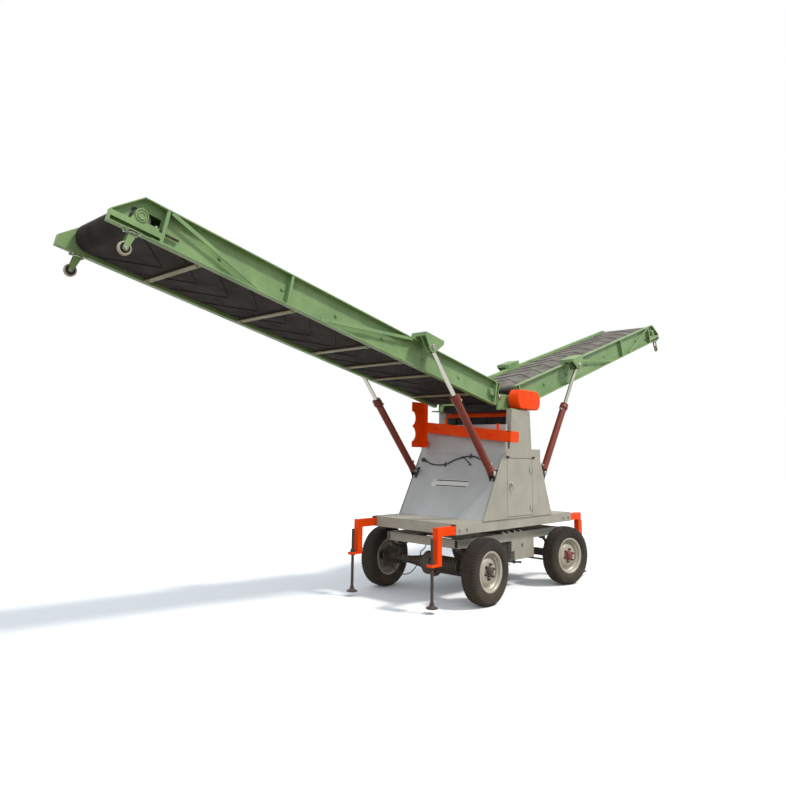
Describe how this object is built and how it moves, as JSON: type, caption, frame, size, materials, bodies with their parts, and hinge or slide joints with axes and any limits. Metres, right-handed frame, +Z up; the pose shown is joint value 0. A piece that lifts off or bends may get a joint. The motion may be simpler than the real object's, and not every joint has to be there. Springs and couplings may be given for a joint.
{
  "type": "mobile folding belt conveyor",
  "caption": "Wheeled slewing tower with hinged belt conveyor wings lifted by cylinders, screw legs and a cabinet door.",
  "frame": {"origin": "on the ground under the slewing axis", "axes": "+X to the front along the wings (steered axle), +Y to the left, +Z up"},
  "size_m": [10.7677, 1.8314, 4.1027],
  "materials": {
    "green_paint": "satin paint",
    "grey_paint": "satin paint",
    "orange_paint": "gloss paint",
    "red_oxide": "matt primer",
    "rim_paint": "satin paint",
    "black_steel": "dull paint",
    "dark_steel": "rusty",
    "rod_chrome": "polished",
    "drum_steel": "worn",
    "belt_rubber": "ribbed rubber",
    "tyre_rubber": "dusty rubber",
    "hose_rubber": "smooth rubber",
    "caster_tread": "moulded",
    "unit_casting": "painted"
  },
  "bodies": {
    "undercarriage": {"lower_frame": "grey_paint", "slew_ring_lower": "dark_steel", "drive_axle": "black_steel", "front_axle": "black_steel", "leaf_springs": "dark_steel", "equipment_box": "grey_paint"},
    "turntable": {"deck_frame": "grey_paint", "tower_side_right": "grey_paint", "tower_side_left": "grey_paint", "tower_rear": "grey_paint", "tower_front": "grey_paint", "power_unit": "unit_casting", "outriggers": "orange_paint", "hinge_brackets": "green_paint", "cylinder_feet": "grey_paint", "cross_beam": "orange_paint", "scalloped_bracket": "orange_paint", "drive_cover": "orange_paint", "rear_hose": "hose_rubber"},
    "door": {"door": "grey_paint"},
    "knuckle_right": {"knuckle_right": "black_steel"},
    "knuckle_left": {"knuckle_left": "black_steel"},
    "tie_rod": {"tie_rod": "black_steel"},
    "wheel_front_right": {"tyre_front_right": "tyre_rubber", "rim_front_right": "rim_paint"},
    "leg_front_right": {"leg_front_right": "dark_steel"},
    "wheel_front_left": {"tyre_front_left": "tyre_rubber", "rim_front_left": "rim_paint"},
    "leg_front_left": {"leg_front_left": "dark_steel"},
    "wheel_rear_right": {"tyre_rear_right": "tyre_rubber", "rim_rear_right": "rim_paint"},
    "leg_rear_right": {"leg_rear_right": "dark_steel"},
    "wheel_rear_left": {"tyre_rear_left": "tyre_rubber", "rim_rear_left": "rim_paint"},
    "leg_rear_left": {"leg_rear_left": "dark_steel"},
    "rear_wing": {"rear_girder_left": "green_paint", "rear_girder_right": "green_paint", "rear_cross_members": "green_paint", "rear_bed": "green_paint", "rear_belt": "belt_rubber", "rear_drums": "drum_steel"},
    "rear_barrels": {"rear_barrels": "red_oxide"},
    "rear_rods": {"rear_rods": "rod_chrome"},
    "rear_caster_right": {"rear_caster_fork_right": "green_paint"},
    "rear_caster_wheel_right": {"rear_caster_wheel_right": "caster_tread"},
    "rear_caster_left": {"rear_caster_fork_left": "green_paint"},
    "rear_caster_wheel_left": {"rear_caster_wheel_left": "caster_tread"},
    "front_wing": {"front_girder_left": "green_paint", "front_girder_right": "green_paint", "front_cross_members": "green_paint", "front_bed": "green_paint", "front_belt": "belt_rubber", "front_drums": "drum_steel"},
    "front_barrels": {"front_barrels": "red_oxide"},
    "front_rods": {"front_rods": "rod_chrome"},
    "front_caster_right": {"front_caster_fork_right": "green_paint"},
    "front_caster_wheel_right": {"front_caster_wheel_right": "caster_tread"},
    "front_caster_left": {"front_caster_fork_left": "green_paint"},
    "front_caster_wheel_left": {"front_caster_wheel_left": "caster_tread"}
  },
  "joints": [
    {"name": "slew", "type": "hinge", "parent": "undercarriage", "child": "turntable", "pos_m": [0, 0, 0.775], "axis": [0, 0, 1], "range_deg": [-180, 180]},
    {"name": "steer_right", "type": "hinge", "parent": "undercarriage", "child": "knuckle_right", "pos_m": [0.955, -0.625, 0.37], "axis": [0, 0, 1], "range_deg": [-12, 36]},
    {"name": "steer_left", "type": "hinge", "parent": "undercarriage", "child": "knuckle_left", "pos_m": [0.955, 0.625, 0.37], "axis": [0, 0, 1], "range_deg": [-12, 36]},
    {"name": "tie_rod_pivot", "type": "hinge", "parent": "knuckle_right", "child": "tie_rod", "pos_m": [0.77893, -0.58758, 0.315], "axis": [0, 0, 1], "range_deg": [-36, 12]},
    {"name": "wheel_front_right_spin", "type": "hinge", "parent": "knuckle_right", "child": "wheel_front_right", "pos_m": [0.92756, -0.75411, 0.37], "axis": [0.2079, 0.9781, 0], "continuous": true},
    {"name": "leg_front_right_screw", "type": "slide", "parent": "turntable", "child": "leg_front_right", "axis": [0, 0, 1], "range_m": [-0.05, 0.2]},
    {"name": "wheel_front_left_spin", "type": "hinge", "parent": "knuckle_left", "child": "wheel_front_left", "pos_m": [0.98244, 0.75411, 0.37], "axis": [0.2079, 0.9781, 0], "continuous": true},
    {"name": "leg_front_left_screw", "type": "slide", "parent": "turntable", "child": "leg_front_left", "axis": [0, 0, 1], "range_m": [-0.05, 0.2]},
    {"name": "wheel_rear_right_spin", "type": "hinge", "parent": "undercarriage", "child": "wheel_rear_right", "pos_m": [-0.955, -0.757, 0.37], "axis": [0, 1, 0], "continuous": true},
    {"name": "leg_rear_right_screw", "type": "slide", "parent": "turntable", "child": "leg_rear_right", "axis": [0, 0, 1], "range_m": [-0.05, 0.2]},
    {"name": "wheel_rear_left_spin", "type": "hinge", "parent": "undercarriage", "child": "wheel_rear_left", "pos_m": [-0.955, 0.757, 0.37], "axis": [0, 1, 0], "continuous": true},
    {"name": "leg_rear_left_screw", "type": "slide", "parent": "turntable", "child": "leg_rear_left", "axis": [0, 0, 1], "range_m": [-0.05, 0.2]},
    {"name": "door_hinge", "type": "hinge", "parent": "turntable", "child": "door", "pos_m": [0.291, -0.655, 0.894], "axis": [0, 0, 1], "range_deg": [0, 110]},
    {"name": "rear_wing_hinge", "type": "hinge", "parent": "turntable", "child": "rear_wing", "pos_m": [-0.18, 0, 2.39], "axis": [0, 1, 0], "range_deg": [-19.54, 16.46]},
    {"name": "rear_barrels_pivot", "type": "hinge", "parent": "turntable", "child": "rear_barrels", "pos_m": [-0.58305, 0, 1.44111], "axis": [0, 1, 0], "range_deg": [-15.01, 12.64]},
    {"name": "rear_rods_slide", "type": "slide", "parent": "rear_barrels", "child": "rear_rods", "axis": [-0.6506, 0, 0.7594], "range_m": [-0.31725, 0.26726]},
    {"name": "rear_caster_right_swivel", "type": "hinge", "parent": "rear_wing", "child": "rear_caster_right", "pos_m": [-5.24662, -0.48, 3.27875], "axis": [0.2001, 0, 0.9798], "continuous": true},
    {"name": "rear_caster_wheel_right_spin", "type": "hinge", "parent": "rear_caster_right", "child": "rear_caster_wheel_right", "pos_m": [-5.29997, -0.48, 3.14247], "axis": [0, 1, 0], "continuous": true},
    {"name": "rear_caster_left_swivel", "type": "hinge", "parent": "rear_wing", "child": "rear_caster_left", "pos_m": [-5.24662, 0.48, 3.27875], "axis": [0.2001, 0, 0.9798], "continuous": true},
    {"name": "rear_caster_wheel_left_spin", "type": "hinge", "parent": "rear_caster_left", "child": "rear_caster_wheel_left", "pos_m": [-5.29997, 0.48, 3.14247], "axis": [0, 1, 0], "continuous": true},
    {"name": "front_wing_hinge", "type": "hinge", "parent": "turntable", "child": "front_wing", "pos_m": [0.18, 0, 2.39], "axis": [0, -1, 0], "range_deg": [-25.65, 10.35]},
    {"name": "front_barrels_pivot", "type": "hinge", "parent": "turntable", "child": "front_barrels", "pos_m": [0.63942, 0, 1.43402], "axis": [0, -1, 0], "range_deg": [-19.92, 8.05]},
    {"name": "front_rods_slide", "type": "slide", "parent": "front_barrels", "child": "front_rods", "axis": [0.5676, 0, 0.8233], "range_m": [-0.43736, 0.17654]},
    {"name": "front_caster_right_swivel", "type": "hinge", "parent": "front_wing", "child": "front_caster_right", "pos_m": [5.12324, -0.48, 3.81298], "axis": [-0.3032, 0, 0.9529], "continuous": true},
    {"name": "front_caster_wheel_right_spin", "type": "hinge", "parent": "front_caster_right", "child": "front_caster_wheel_right", "pos_m": [5.19079, -0.48, 3.68315], "axis": [0, 1, 0], "continuous": true},
    {"name": "front_caster_left_swivel", "type": "hinge", "parent": "front_wing", "child": "front_caster_left", "pos_m": [5.12324, 0.48, 3.81298], "axis": [-0.3032, 0, 0.9529], "continuous": true},
    {"name": "front_caster_wheel_left_spin", "type": "hinge", "parent": "front_caster_left", "child": "front_caster_wheel_left", "pos_m": [5.19079, 0.48, 3.68315], "axis": [0, 1, 0], "continuous": true}
  ],
  "couplings": [
    {"joint": "steer_left", "follows": "steer_right", "ratio": 1},
    {"joint": "tie_rod_pivot", "follows": "steer_right", "ratio": -1},
    {"joint": "rear_barrels_pivot", "follows": "rear_wing_hinge", "ratio": 0.7675},
    {"joint": "rear_rods_slide", "follows": "rear_wing_hinge", "m_per_rad": 0.92996},
    {"joint": "front_barrels_pivot", "follows": "front_wing_hinge", "ratio": 0.77638},
    {"joint": "front_rods_slide", "follows": "front_wing_hinge", "m_per_rad": 0.97673}
  ]
}
